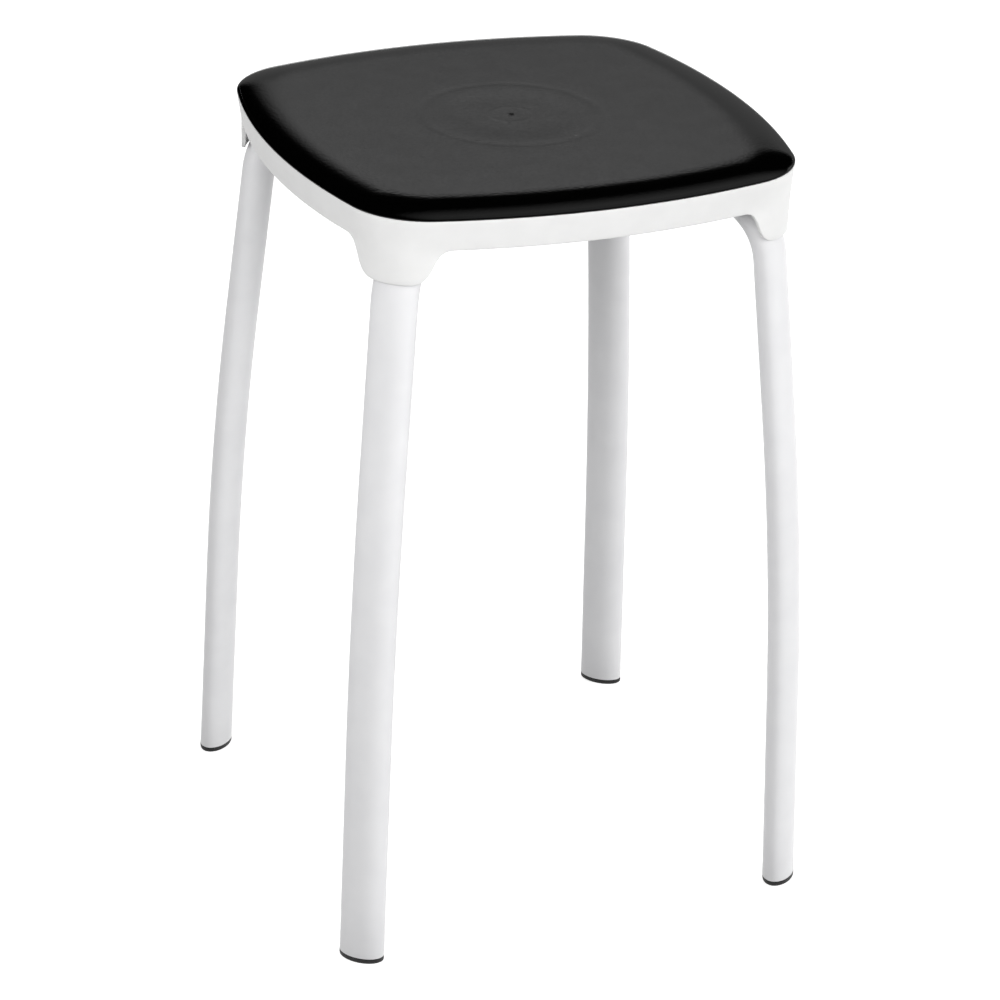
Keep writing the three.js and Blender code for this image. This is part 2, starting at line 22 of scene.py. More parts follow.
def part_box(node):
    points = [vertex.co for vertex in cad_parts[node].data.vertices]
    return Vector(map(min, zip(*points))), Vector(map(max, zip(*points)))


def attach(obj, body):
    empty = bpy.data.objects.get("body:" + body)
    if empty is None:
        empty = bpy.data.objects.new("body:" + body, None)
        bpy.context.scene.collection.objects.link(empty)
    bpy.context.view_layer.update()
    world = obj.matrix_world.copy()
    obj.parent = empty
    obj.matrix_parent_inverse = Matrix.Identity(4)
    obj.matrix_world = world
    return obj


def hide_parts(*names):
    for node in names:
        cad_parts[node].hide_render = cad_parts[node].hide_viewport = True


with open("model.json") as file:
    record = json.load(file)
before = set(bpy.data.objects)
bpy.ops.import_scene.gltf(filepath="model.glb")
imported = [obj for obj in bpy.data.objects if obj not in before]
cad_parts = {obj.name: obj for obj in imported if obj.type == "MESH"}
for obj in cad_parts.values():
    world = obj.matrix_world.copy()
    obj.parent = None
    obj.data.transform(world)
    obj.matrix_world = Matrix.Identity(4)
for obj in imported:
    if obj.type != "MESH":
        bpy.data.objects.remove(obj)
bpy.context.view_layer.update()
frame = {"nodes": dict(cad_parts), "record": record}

# %% [markdown]
# The sizes that everything follows
#
# A maker works from a handful of sizes: the seat's outline, the skirt, the tongues, the tube and
# its bends. They could be measured off the frame's facets, but the facets hide the arcs that
# they follow, so the arcs are written here as the drawing has them. What the frame does say
# plainly, such as the seat's width and height, is read from it.

# %% Sizes of the seat
MM = 0.001
# Neighbouring pieces keep this gap.
SEAM = 0.3 * MM
# The smooth pieces stay this much inside the frame's facets.
HAIR = 0.01 * MM
# Points closer together than this are one point.
MERGE = MM / 100
# A point this near to a level or a circle lies on it.
NEAR = MM / 10
SIDES = 4
QUARTER = math.tau / SIDES

_, seat_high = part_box("seat_top")
frame_low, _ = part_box("seat_frame")
SEAT_HALF = seat_high.x
SEAT_TOP = seat_high.z - HAIR

SIDE_RADIUS = 400 * MM
CORNER_RADIUS = 48 * MM
CROWN_HEIGHT = 5.8 * MM
CROWN_REACH = 29.5 * MM
RIM_EDGE = 0.4 * MM
SHELL_WALL = 2.4 * MM
LIP = SEAT_TOP - CROWN_HEIGHT

# The corner arc touches both side arcs, which fixes its centre and where the arcs meet.
SIDE_CENTRE = SIDE_RADIUS - SEAT_HALF
RADIUS_GAP = SIDE_RADIUS - CORNER_RADIUS
CORNER_CENTRE = (math.sqrt(2 * RADIUS_GAP**2 - SIDE_CENTRE**2) - SIDE_CENTRE) / 2
BLEND = math.atan2(CORNER_CENTRE, SIDE_CENTRE + CORNER_CENTRE)
CORNER_REACH = math.hypot(CORNER_CENTRE, CORNER_CENTRE) + CORNER_RADIUS

# %% Sizes of the white frame
TRAY_DEPTH = 3.7 * MM
DECK_THICKNESS = 2.5 * MM
FRAME_WALL = 2.3 * MM
SKIRT_HEIGHT = 17.7 * MM
SKIRT_LEAN = 3 * MM
TONGUE_LEAN = 1.2 * MM
TONGUE_ROOT = 50 * MM
TONGUE_TIP = 40.5 * MM
ROOT_FILLET = 6 * MM
TIP_ROUND = 8 * MM
EDGE_ROUND = 0.5 * MM
SADDLE_WALL = 2 * MM
SADDLE_DEPTH = 11 * MM
SADDLE_START = 50 * MM
RIB_HEIGHT = 6 * MM
RIB_THICKNESS = 1.8 * MM
OUTER_RIB_INSET = 56 * MM

DECK_TOP = LIP - TRAY_DEPTH
DECK_LOW = DECK_TOP - DECK_THICKNESS
TONGUE_BOTTOM = frame_low.z
TONGUE_DROP = LIP - TONGUE_BOTTOM

# %% Sizes of the tubes and their fittings
TUBE_WIDTH = 27 * MM
TUBE_DEPTH = 17.3 * MM
TUBE_WALL = 1.5 * MM
TUBE_EDGE = TUBE_WALL / 6
BEND_RADIUS = 42 * MM
BOW_RADIUS = 2225 * MM
BOW_HEIGHT = 214 * MM
LOWER_SPLAY = math.radians(2.27)
UPPER_SPLAY = math.radians(6.75)
CROSS_WIDEN = 1.1
CROSS_FLAT = 20 * MM
CROSS_BLEND = 22 * MM
TUBE_GAP = 0.4 * MM
TUBE_CLEAR = TUBE_WIDTH / 2 + TUBE_GAP
GLIDE_FLANGE = 3 * MM

RUN_Z = DECK_LOW - SEAM - TUBE_DEPTH / 2
INNER_RIB_REACH = (SADDLE_START + TUBE_CLEAR + SADDLE_WALL) / math.sqrt(2)
OUTER_RIB_REACH = SEAT_HALF - OUTER_RIB_INSET

# The bend touches the inside of the tongue at its tip, and that places the whole leg.
bend_tangent = BEND_RADIUS * math.tan((QUARTER - UPPER_SPLAY) / 2)
tip_rise = TONGUE_BOTTOM - (RUN_Z - BEND_RADIUS)
tip_reach = math.sqrt((BEND_RADIUS + TUBE_DEPTH / 2) ** 2 - tip_rise**2)
BEND_X = CORNER_REACH - TONGUE_LEAN - FRAME_WALL - TUBE_GAP - tip_reach
BOW_X = BEND_X + bend_tangent + (RUN_Z - BOW_HEIGHT) * math.tan(UPPER_SPLAY)
FOOT_REACH = BOW_X + BOW_HEIGHT * math.tan(LOWER_SPLAY)
print("the feet stand", round(FOOT_REACH / MM, 2), "mm from the middle")

# %% [markdown]
# A few helpers for work in edit mode
#
# Blender's operators act on what is selected, as they do under a modeller's hands. With no
# window there is nothing to click, so a small function picks vertices, edges or faces by a test
# on their place. Everything is deselected first, because the frame's own pieces come in selected.

# %% Select and edit
SELECT_MODES = {"verts": "VERT", "edges": "EDGE", "faces": "FACE"}


def select_only(piece):
    """Make one piece the only selected and active one."""
    bpy.ops.object.select_all(action="DESELECT")
    piece.select_set(True)
    bpy.context.view_layer.objects.active = piece


def open_mesh(piece):
    """Enter edit mode on one piece, with all of it selected."""
    select_only(piece)
    bpy.ops.object.mode_set(mode="EDIT")
    bpy.ops.mesh.select_mode(type="VERT")
    bpy.ops.mesh.select_all(action="SELECT")


def close_mesh():
    """Leave edit mode."""
    bpy.ops.object.mode_set(mode="OBJECT")


def pick(piece, kind, wanted):
    """In edit mode, select the elements of one kind that pass a test."""
    bpy.ops.mesh.select_mode(type=SELECT_MODES[kind])
    bpy.ops.mesh.select_all(action="DESELECT")
    mesh = bmesh.from_edit_mesh(piece.data)
    for element in getattr(mesh, kind):
        if wanted(element):
            element.select_set(True)
    mesh.select_flush_mode()
    bmesh.update_edit_mesh(piece.data)


def extrude(step):
    """Extrude what is selected by one step."""
    bpy.ops.mesh.extrude_region_move(TRANSFORM_OT_translate={"value": step})


# %% Apply modifiers and shade
def modify(piece, kind, **settings):
    """Add one modifier and apply it."""
    modifier = piece.modifiers.new(kind.title(), kind)
    for name, value in settings.items():
        setattr(modifier, name, value)
    select_only(piece)
    bpy.ops.object.modifier_apply(modifier=modifier.name)


def freeze(piece):
    """Write the piece's place into its mesh and leave its object at the origin."""
    select_only(piece)
    bpy.ops.object.transform_apply(location=True, rotation=True, scale=True)


def round_edges(piece, width, segments=3, sharper_than=math.radians(40)):
    """Round every edge that is sharper than an angle."""
    modify(piece, "BEVEL", width=width, segments=segments, limit_method="ANGLE",
           angle_limit=sharper_than)


def smooth(piece, below=math.radians(35)):
    """Shade smooth, but keep the edges that are sharper than an angle."""
    select_only(piece)
    bpy.ops.object.shade_smooth_by_angle(angle=below)


# %% Begin and finish a piece
def add_shape(name, operator, **settings):
    """Add one of Blender's basic shapes as a new piece."""
    bpy.ops.object.select_all(action="DESELECT")
    operator(**settings)
    piece = bpy.context.active_object
    piece.name = name
    piece.data.name = name
    return piece


def start_point(name, place):
    """Begin a new mesh with one vertex, a tiny plane merged to its centre."""
    piece = add_shape(name, bpy.ops.mesh.primitive_plane_add, size=MM, location=place)
    freeze(piece)
    open_mesh(piece)
    bpy.ops.mesh.merge(type="CENTER")
    return piece


def face_outwards():
    """Turn every face of the open mesh outwards."""
    bpy.ops.mesh.select_all(action="SELECT")
    bpy.ops.mesh.normals_make_consistent(inside=False)


def fill_open_side(piece):
    """Fill the loop that an extruded face leaves open behind it."""
    pick(piece, "edges", lambda e: e.is_boundary)
    bpy.ops.mesh.edge_face_add()
    face_outwards()


def fill_up(piece):
    """Fill the selected loop with one face, and turn that face upwards."""
    bpy.ops.mesh.edge_face_add()
    filled = [face for face in bmesh.from_edit_mesh(piece.data).faces if face.select]
    if filled[0].normal.z < 0:
        bpy.ops.mesh.flip_normals()


dressed = []


def stand_for(piece, *nodes, slot):
    """Let a finished piece ride with the stool in place of the frame's nodes."""
    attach(piece, "root")
    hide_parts(*nodes)
    dressed.append((piece, slot))
    print(piece.name, "has", len(piece.data.polygons), "faces")


# %% [markdown]
# The outline of the seat
#
# Seen from above, the seat is neither a square nor a circle. Each side is a shallow arc, and each
# corner is a tighter one, and they meet without a kink. A scaled circle would bulge too much and
# a bevelled square would have straight sides, so the outline is drawn as a draughtsman would, by
# eight arcs end to end. The Spin operator turns a single vertex about a centre and leaves the
# arc behind it. With a positive angle it turns clockwise about +Z, so the axis points down.

# %% Draw the outline
SHELL_STEPS = (24, 24)
SKIRT_STEPS = (72, 64)


def outline(name, inset, height, steps=SHELL_STEPS):
    """A loop of edges round the seat, a given distance inside its widest outline."""
    side_radius = SIDE_RADIUS - inset
    first = Vector((side_radius * math.cos(BLEND) - SIDE_CENTRE,
                    -side_radius * math.sin(BLEND), height))
    piece = start_point(name, first)
    for side in range(SIDES):
        turn = Matrix.Rotation(side * QUARTER, 3, "Z")
        arcs = (
            (Vector((-SIDE_CENTRE, 0, height)), 2 * BLEND, steps[0]),
            (Vector((CORNER_CENTRE, CORNER_CENTRE, height)), QUARTER - 2 * BLEND, steps[1]),
        )
        for centre, angle, count in arcs:
            bpy.ops.mesh.spin(steps=count, angle=angle, center=turn @ centre, axis=(0, 0, -1))
    bpy.ops.mesh.select_all(action="SELECT")
    bpy.ops.mesh.remove_doubles(threshold=MERGE)
    return piece


# %% [markdown]
# The seat top
#
# The black seat top is a thin shell. From its rim it rises steeply, bends over within about
# 30 mm and runs out flat. A subdivided and inflated square could look like that, but its crown
# would be a guess. Here the outline is filled, and the Inset operator steps inwards and up along
# nearly a quarter of an ellipse, always square to the edge, as the mould was cut.
#
# In the middle, the outline gives way to circles. Moulded plastic shrinks where a rib stands
# behind it, and on the real seat a small ring and a faint wider halo show round the mark of the
# gate where the plastic was fed in. Painted marks wouldn't follow the light, so these are
# modelled: the halo is the rim of a dish a third of a millimetre deep, and the ring stands a
# few hundredths proud in it.

# %% Model the seat top
CROWN_STEPS = 24
# Over 1, the crown bends more firmly at the edge of the flat than a true ellipse.
CROWN_POWER = 1.2
DISC_RADIUS = 60 * MM
# The marks of the ribs, by distance from the middle: pairs of (radius, depth). The wide halo is
# the rim of a shallow dish, and the small ring stands a little proud of the dish.
SINK_KNOTS = ((56 * MM, 0), (51 * MM, 0.09 * MM), (46 * MM, 0), (24 * MM, 0.34 * MM),
              (15 * MM, 0.34 * MM), (12 * MM, 0.28 * MM), (9.5 * MM, 0.35 * MM),
              (3.2 * MM, 0.35 * MM))
SINK_STEPS = 10
# The gate leaves a small pit with a low lip round it: pairs of (radius, depth).
GATE_PROFILE = ((2.6 * MM, 0.3 * MM), (1.9 * MM, 0.2 * MM), (1.4 * MM, 0.32 * MM),
                (1.0 * MM, 0.9 * MM), (0.2 * MM, 0.9 * MM))


def disc_profile():
    """Circles in the middle of the seat, eased from mark to mark: (radius, depth)."""
    circles = []
    for (outer, first), (inner, last) in zip(SINK_KNOTS, SINK_KNOTS[1:]):
        for i in range(SINK_STEPS):
            eased = (1 - math.cos(math.pi * i / SINK_STEPS)) / 2
            radius = outer + (inner - outer) * i / SINK_STEPS
            circles.append((radius, first + (last - first) * eased))
    return circles + [SINK_KNOTS[-1]] + list(GATE_PROFILE)


def inset_to(profile):
    """Inset the selected face through a list of (inset, height) pairs."""
    for (inset, height), (next_inset, next_height) in zip(profile, profile[1:]):
        bpy.ops.mesh.inset(thickness=next_inset - inset, depth=next_height - height)


def make_seat_shell():
    rim = LIP + SEAM
    shell = outline("seat_shell", 0, rim)
    fill_up(shell)
    extrude((0, 0, RIM_EDGE))
    rise = SEAT_TOP - rim - RIM_EDGE
    profile = []
    for i in range(CROWN_STEPS + 1):
        angle = QUARTER * (i / CROWN_STEPS)
        profile.append((CROWN_REACH * (1 - math.cos(angle) ** CROWN_POWER),
                        rise * math.sin(angle) ** CROWN_POWER))
    inset_to(profile)
    bpy.ops.mesh.delete(type="ONLY_FACE")
    bpy.ops.mesh.primitive_circle_add(vertices=SIDES * sum(SHELL_STEPS), radius=DISC_RADIUS,
                                      location=(0, 0, SEAT_TOP))
    pick(shell, "edges", lambda e: min(v.co.z for v in e.verts) > SEAT_TOP - MERGE)
    bpy.ops.mesh.bridge_edge_loops()
    pick(shell, "edges",
         lambda e: all(abs(v.co.xy.length - DISC_RADIUS) < NEAR for v in e.verts))
    fill_up(shell)
    inset_to([(0, 0)] + [(DISC_RADIUS - radius, -depth) for radius, depth in disc_profile()])
    close_mesh()
    modify(shell, "SOLIDIFY", thickness=SHELL_WALL, offset=-1)
    round_edges(shell, RIM_EDGE / 2)
    smooth(shell)
    return shell


stand_for(make_seat_shell(), "seat_top", slot="black_polypropylene")

# %% [markdown]
# The skirt and its tongues
#
# The white frame carries the seat on its lip. Its skirt leans in a little on the sides, to leave
# the mould, and stands nearly upright at the corners, where a tongue reaches down over the bend
# of each leg. Tongues could be cut out of a tall wall with booleans, but the cut would leave
# long thin faces that shade badly. Instead the outline is extruded down in even rows, and then
# every column of points is drawn up or let down to the lower edge, so that the rows flow round
# the tongues. Solidify gives the wall its thickness and Bevel rounds its edges.

# %% The lower edge of the skirt
CURVE_STEPS = 12


def quadratic(start, middle, end):
    """Points along a quadratic curve, as a drawing program makes them."""
    points = []
    for i in range(CURVE_STEPS + 1):
        t = i / CURVE_STEPS
        points.append([(1 - t) ** 2 * a + 2 * t * (1 - t) * b + t * t * c
                       for a, b, c in zip(start, middle, end)])
    return points


def lower_edge():
    """The skirt's lower edge from mid side to corner: pairs of (place, depth under the lip)."""
    root = SEAT_HALF - TONGUE_ROOT
    tip = SEAT_HALF - TONGUE_TIP
    slope = (tip - root) / (TONGUE_DROP - SKIRT_HEIGHT)
    fillet = quadratic((root - ROOT_FILLET, SKIRT_HEIGHT), (root, SKIRT_HEIGHT),
                       (root + ROOT_FILLET * slope, SKIRT_HEIGHT + ROOT_FILLET))
    rounding = quadratic((tip - TIP_ROUND * slope, TONGUE_DROP - TIP_ROUND), (tip, TONGUE_DROP),
                         (tip + TIP_ROUND, TONGUE_DROP))
    return fillet + rounding


LOWER_EDGE = lower_edge()


def depth_at(place):
    """Depth of the skirt where its nearer coordinate axis is this far away."""
    if place <= LOWER_EDGE[0][0]:
        return SKIRT_HEIGHT
    for (start, depth), (end, next_depth) in zip(LOWER_EDGE, LOWER_EDGE[1:]):
        if place <= end:
            return depth + (next_depth - depth) * (place - start) / (end - start)
    return TONGUE_DROP


# %% Model the skirt
SKIRT_ROWS = 10


def ease(share):
    """A share from 0 to 1 that starts and ends slowly."""
    return share * share * (3 - 2 * share)


def outward_at(x, y):
    """The outline's outward direction, and how far it is from corner (0) to side (1)."""
    off_centre = Vector((abs(x) - CORNER_CENTRE, abs(y) - CORNER_CENTRE))
    heading = math.atan2(off_centre.y, off_centre.x)
    if BLEND < heading < QUARTER - BLEND:
        out = off_centre.normalized()
    elif abs(x) > abs(y):
        out = Vector((abs(x) + SIDE_CENTRE, abs(y))).normalized()
    else:
        out = Vector((abs(x), abs(y) + SIDE_CENTRE)).normalized()
    off_diagonal = abs(math.atan2(out.y, out.x) - QUARTER / 2)
    side_share = ease(min(1, off_diagonal / (QUARTER / 2 - BLEND)))
    return Vector((math.copysign(out.x, x), math.copysign(out.y, y))), side_share


def lean_at(depth, side_share):
    """How far the skirt has leaned in at a depth under the lip."""
    side_lean = SKIRT_LEAN * min(depth, SKIRT_HEIGHT) / SKIRT_HEIGHT
    corner_lean = TONGUE_LEAN * depth / TONGUE_DROP
    return corner_lean + (side_lean - corner_lean) * side_share


def make_skirt():
    skirt = outline("frame_skirt", 0, LIP, SKIRT_STEPS)
    for _ in range(SKIRT_ROWS):
        extrude((0, 0, -MM))
    face_outwards()
    close_mesh()
    for point in skirt.data.vertices:
        x, y, z = point.co
        row = round((LIP - z) / MM)
        out, side_share = outward_at(x, y)
        depth = depth_at(min(abs(x), abs(y))) * row / SKIRT_ROWS
        lean = lean_at(depth, side_share)
        point.co = (x - lean * out.x, y - lean * out.y, LIP - depth)
    modify(skirt, "SOLIDIFY", thickness=FRAME_WALL, offset=-1, use_even_offset=True)
    round_edges(skirt, EDGE_ROUND)
    smooth(skirt)
    return skirt


stand_for(make_skirt(), "seat_frame", slot="white_polypropylene")

# %% [markdown]
# The deck and what stands under it
#
# Under the seat top, the white frame closes into a deck. Walls on its underside hold each tube
# sideways and run out behind the tongues, and low ribs keep the deck from bending. All of them
# are flat plates of an even thickness, so each is drawn as its outline, point by point with
# Extrude, filled, and thickened by Solidify. Real ribs never have knife edges, so each gets a
# small round.

# %% A helper for flat plates
PLATE_ROUND = 0.35 * MM


def plate(name, corners, thickness):
    """A flat plate of even thickness from the corners of its middle plane."""
    points = [Vector(corner) for corner in corners]
    piece = start_point(name, points[0])
    for here, there in zip(points, points[1:]):
        bpy.ops.mesh.extrude_vertices_move(TRANSFORM_OT_translate={"value": there - here})
    bpy.ops.mesh.select_all(action="SELECT")
    bpy.ops.mesh.edge_face_add()
    close_mesh()
    modify(piece, "SOLIDIFY", thickness=thickness, offset=0)
    round_edges(piece, PLATE_ROUND, segments=2)
    return piece


def turned(piece, angle):
    """Turn a piece about the middle of the stool and write that into its mesh."""
    piece.rotation_euler.z = angle
    freeze(piece)
    return piece


def join_all(name, pieces):
    """Join several pieces into one object."""
    bpy.ops.object.select_all(action="DESELECT")
    for piece in pieces:
        piece.select_set(True)
    bpy.context.view_layer.objects.active = pieces[0]
    bpy.ops.object.join()
    pieces[0].name = name
    pieces[0].data.name = name
    return pieces[0]


# %% Model the deck
HOLE_SIDES = 32
SCREW_HOLE = 2.3 * MM
BOLT_HOLE = 3.3 * MM
CORNERS = ("front_left", "front_right", "back_right", "back_left")
SIDE_NAMES = ("front", "right", "back", "left")
SCREWS = ([f"leg_screw_{corner}" for corner in CORNERS]
          + [f"seat_screw_{side}" for side in SIDE_NAMES])


def middle_of(node):
    """The middle of a frame node's box."""
    low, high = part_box(node)
    return (low + high) / 2


def cut_out(piece, cutters):
    """Cut other objects out of a piece, and remove them."""
    for cutter in cutters:
        modify(piece, "BOOLEAN", operation="DIFFERENCE", object=cutter, solver="EXACT")
        bpy.data.objects.remove(cutter)


def cylinder(name, place, z, radius, height, sides):
    """An upright cylinder over a place, with its middle at height z."""
    return add_shape(name, bpy.ops.mesh.primitive_cylinder_add, vertices=sides, radius=radius,
                     depth=height, location=(place.x, place.y, z))


def drill(piece, places, radius):
    """Drill upright holes right through a piece."""
    drills = [cylinder("drill", place, DECK_LOW, radius, TONGUE_DROP, HOLE_SIDES)
              for place in places]
    cut_out(piece, [join_all("drill", drills)])


def make_deck():
    inset = lean_at(LIP - DECK_LOW, 1) + FRAME_WALL / 2
    deck = outline("frame_deck", inset, DECK_LOW)
    bpy.ops.mesh.edge_face_add()
    extrude((0, 0, DECK_THICKNESS))
    fill_open_side(deck)
    close_mesh()
    drill(deck, [middle_of(screw) for screw in SCREWS], SCREW_HOLE)
    drill(deck, [middle_of("centre_bolt")], BOLT_HOLE)
    return deck


stand_for(make_deck(), "seat_frame", slot="white_polypropylene")

# %% Model the saddle walls
# The plates run into the skirt's wall by this share of its thickness.
WALL_BITE = 0.5


def reach_at(aside, depth, side_share):
    """Distance from the middle to the inside of the corner's wall, beside the diagonal."""
    radius = CORNER_RADIUS - lean_at(depth, side_share) - FRAME_WALL * WALL_BITE
    return CORNER_CENTRE * math.sqrt(2) + math.sqrt(radius**2 - aside**2)


def make_saddles():
    aside = TUBE_CLEAR + SADDLE_WALL / 2
    _, side_share = outward_at(*Matrix.Rotation(QUARTER / 2, 2) @ Vector((CORNER_REACH, aside)))
    low = DECK_LOW - SADDLE_DEPTH
    high = DECK_LOW + DECK_THICKNESS / 2
    walls = []
    for corner in range(SIDES):
        for side in (-1, 1):
            y = side * aside
            wall = plate("saddle", [
                (SADDLE_START, y, high),
                (SADDLE_START, y, low),
                (reach_at(aside, LIP - low, side_share), y, low),
                (reach_at(aside, LIP - high, side_share), y, high),
            ], SADDLE_WALL)
            walls.append(turned(wall, (corner + 1 / 2) * QUARTER))
    return join_all("frame_saddles", walls)


stand_for(make_saddles(), "seat_frame", slot="white_polypropylene")

# %% Model the ribs and the screw cups
CUP_RADIUS = 4.5 * MM


def make_ribs():
    low = DECK_LOW - RIB_HEIGHT
    high = DECK_LOW + DECK_THICKNESS / 2
    low_reach = SEAT_HALF - lean_at(LIP - low, 1) - FRAME_WALL * WALL_BITE
    high_reach = SEAT_HALF - lean_at(LIP - high, 1) - FRAME_WALL * WALL_BITE
    cup_x = abs(middle_of("seat_screw_left").x)
    cup_edge = CUP_RADIUS + RIB_THICKNESS / 2
    outlines = []
    for reach in (INNER_RIB_REACH, OUTER_RIB_REACH):
        half = reach - (TUBE_CLEAR + SADDLE_WALL / 2) * math.sqrt(2)
        outlines.append([(reach, -half, low), (reach, half, low),
                         (reach, half, high), (reach, -half, high)])
    outlines.append([(INNER_RIB_REACH, 0, low), (cup_x - cup_edge, 0, low),
                     (cup_x - cup_edge, 0, high), (INNER_RIB_REACH, 0, high)])
    outlines.append([(cup_x + cup_edge, 0, low), (low_reach, 0, low),
                     (high_reach, 0, high), (cup_x + cup_edge, 0, high)])
    ribs = []
    for side in range(SIDES):
        for corners in outlines:
            ribs.append(turned(plate("rib", corners, RIB_THICKNESS), side * QUARTER))
    return join_all("frame_ribs", ribs)


def make_cups():
    """A round wall under the deck round each seat screw's head."""
    cups = []
    middle_z = DECK_LOW + DECK_THICKNESS / 4 - RIB_HEIGHT / 2
    for side in SIDE_NAMES:
        place = middle_of(f"seat_screw_{side}")
        cup = cylinder("cup", place, middle_z, CUP_RADIUS + RIB_THICKNESS,
                       RIB_HEIGHT + DECK_THICKNESS / 2, HOLE_SIDES)
        freeze(cup)
        open_mesh(cup)
        pick(cup, "faces", lambda f: f.normal.z < -1 / 2)
        bpy.ops.mesh.inset(thickness=RIB_THICKNESS)
        extrude((0, 0, RIB_HEIGHT + SEAM))
        close_mesh()
        round_edges(cup, PLATE_ROUND, segments=2)
        cups.append(cup)
    return join_all("frame_cups", cups)


for piece in (make_ribs(), make_cups()):
    smooth(piece)
    stand_for(piece, "seat_frame", slot="white_polypropylene")

# %% [markdown]
# The bent tubes
#
# Each pair of opposite legs is one steel tube. It is rolled from round tube to an oval, bowed a
# little over the length of each leg, bent tightly at the top and pressed to half its depth where
# it crosses the other one. A curve with a bevel object could follow the bends, but not the
# press. So an oval ring is extruded and spun along half of the route, exactly as the tube is bent
# in the shop, and each step of the press squeezes the ring with Resize. Mirror makes the other
# leg, and Solidify the tube's wall.

# %% Bend one tube
TUBE_SIDES = 64
BOW_STEPS = 10
BEND_STEPS = 20
PRESS_STEPS = 8
LEG_STEPS = 4


def oval(name, place, **settings):
    """Begin a piece with an oval across the leg, as large as the tube."""
    ring = add_shape(name, bpy.ops.mesh.primitive_circle_add, vertices=TUBE_SIDES, radius=1,
                     location=place, **settings)
    ring.scale = (TUBE_DEPTH / 2 - HAIR, TUBE_WIDTH / 2 - HAIR, 1)
    freeze(ring)
    open_mesh(ring)
    return ring


def up_leg(splay):
    """The direction up a leg that leans in by an angle."""
    return Vector((-math.sin(splay), 0, math.cos(splay)))


def off_leg(splay):
    """The direction square to that leg, away from the middle."""
    return Vector((math.cos(splay), 0, math.sin(splay)))


def slide(direction, length):
    """Extrude the selected ring along a direction, in a few steps."""
    for _ in range(LEG_STEPS):
        extrude(direction * (length / LEG_STEPS))


def ring_centre(piece):
    """The middle of the selected vertices."""
    points = [v.co.copy() for v in bmesh.from_edit_mesh(piece.data).verts if v.select]
    return sum(points, Vector()) / len(points)


def press(piece, level):
    """Extrude the ring to the crossing, squeezing it to half its depth on the way."""
    flat_share = (TUBE_DEPTH - SEAM) / 2 / TUBE_DEPTH
    shift = level * (TUBE_DEPTH + SEAM) / 4
    wide = deep = 1
    lifted = 0
    for i in range(1, PRESS_STEPS + 1):
        extrude((-CROSS_BLEND / PRESS_STEPS, 0, 0))
        eased = ease(i / PRESS_STEPS)
        next_wide = 1 + eased * (CROSS_WIDEN - 1)
        next_deep = 1 + eased * (flat_share - 1)
        bpy.ops.transform.resize(value=(1, next_wide / wide, next_deep / deep),
                                 center_override=ring_centre(piece))
        bpy.ops.transform.translate(value=(0, 0, eased * shift - lifted))
        wide, deep, lifted = next_wide, next_deep, eased * shift
    extrude((-CROSS_FLAT, 0, 0))


def make_tube(name, level, turn):
    """One bent tube: level is +1 for the upper one at the crossing and -1 for the lower."""
    foot_z = GLIDE_FLANGE + SEAM
    foot = Vector((FOOT_REACH - foot_z * math.tan(LOWER_SPLAY), 0, foot_z))
    tube = oval(name, foot)

    bow = Vector((BOW_X, 0, BOW_HEIGHT))
    bow_tangent = BOW_RADIUS * math.tan((UPPER_SPLAY - LOWER_SPLAY) / 2)
    bow_start = bow - up_leg(LOWER_SPLAY) * bow_tangent
    bow_end = bow + up_leg(UPPER_SPLAY) * bow_tangent
    bow_centre = bow_start - off_leg(LOWER_SPLAY) * BOW_RADIUS
    bend_centre = Vector((BEND_X, 0, RUN_Z - BEND_RADIUS))
    bend_start = bend_centre + off_leg(UPPER_SPLAY) * BEND_RADIUS

    slide(up_leg(LOWER_SPLAY), (bow_start - foot).length)
    bpy.ops.transform.rotate(value=LOWER_SPLAY, orient_axis="Y", center_override=bow_start)
    bpy.ops.mesh.spin(steps=BOW_STEPS, angle=UPPER_SPLAY - LOWER_SPLAY, center=bow_centre,
                      axis=(0, 1, 0))
    slide(up_leg(UPPER_SPLAY), (bend_start - bow_end).length)
    bpy.ops.mesh.spin(steps=BEND_STEPS, angle=QUARTER - UPPER_SPLAY, center=bend_centre,
                      axis=(0, 1, 0))
    slide(Vector((-1, 0, 0)), BEND_X - CROSS_FLAT - CROSS_BLEND)
    press(tube, level)
    face_outwards()
    close_mesh()
    modify(tube, "MIRROR", use_axis=(True, False, False), use_clip=True, merge_threshold=NEAR)
    open_mesh(tube)
    face_outwards()
    close_mesh()
    modify(tube, "SOLIDIFY", thickness=TUBE_WALL, offset=-1)
    round_edges(tube, TUBE_EDGE, segments=2)
    smooth(tube)
    return turned(tube, turn)


stand_for(make_tube("tube_upper", 1, QUARTER / 2), "leg_hoop_upper", slot="white_powder_coat")
stand_for(make_tube("tube_lower", -1, -QUARTER / 2), "leg_hoop_lower", slot="white_powder_coat")

# %% [markdown]
# The foot glides
#
# Each foot stands on a black plug with an oval flange as wide as the tube. The flange is an oval
# disc whose lower edge is rounded, so that it slides and doesn't scratch. A scaled cylinder would
# have even, sharp edges, so the disc is extruded from a filled oval, its lower edge gets its own
# bevel, and the shank is extruded from an inset of its top face.

# %% Model the glides
GLIDE_EDGE = 1.1 * MM
GLIDE_SHANK = 18 * MM
GLIDE_SHANK_GAP = 0.5 * MM
EDGE_STEPS = 5
# A piece made on the +X axis comes to its corner by this turn.
CORNER_TURNS = {corner: (number - 3 / 2) * QUARTER for number, corner in enumerate(CORNERS)}


def round_bottom(piece, low, width):
    """Round the lower edge of a piece that is open in edit mode."""
    pick(piece, "edges", lambda e: all(v.co.z < low + NEAR for v in e.verts))
    bpy.ops.mesh.bevel(offset=width, segments=EDGE_STEPS, affect="EDGES")


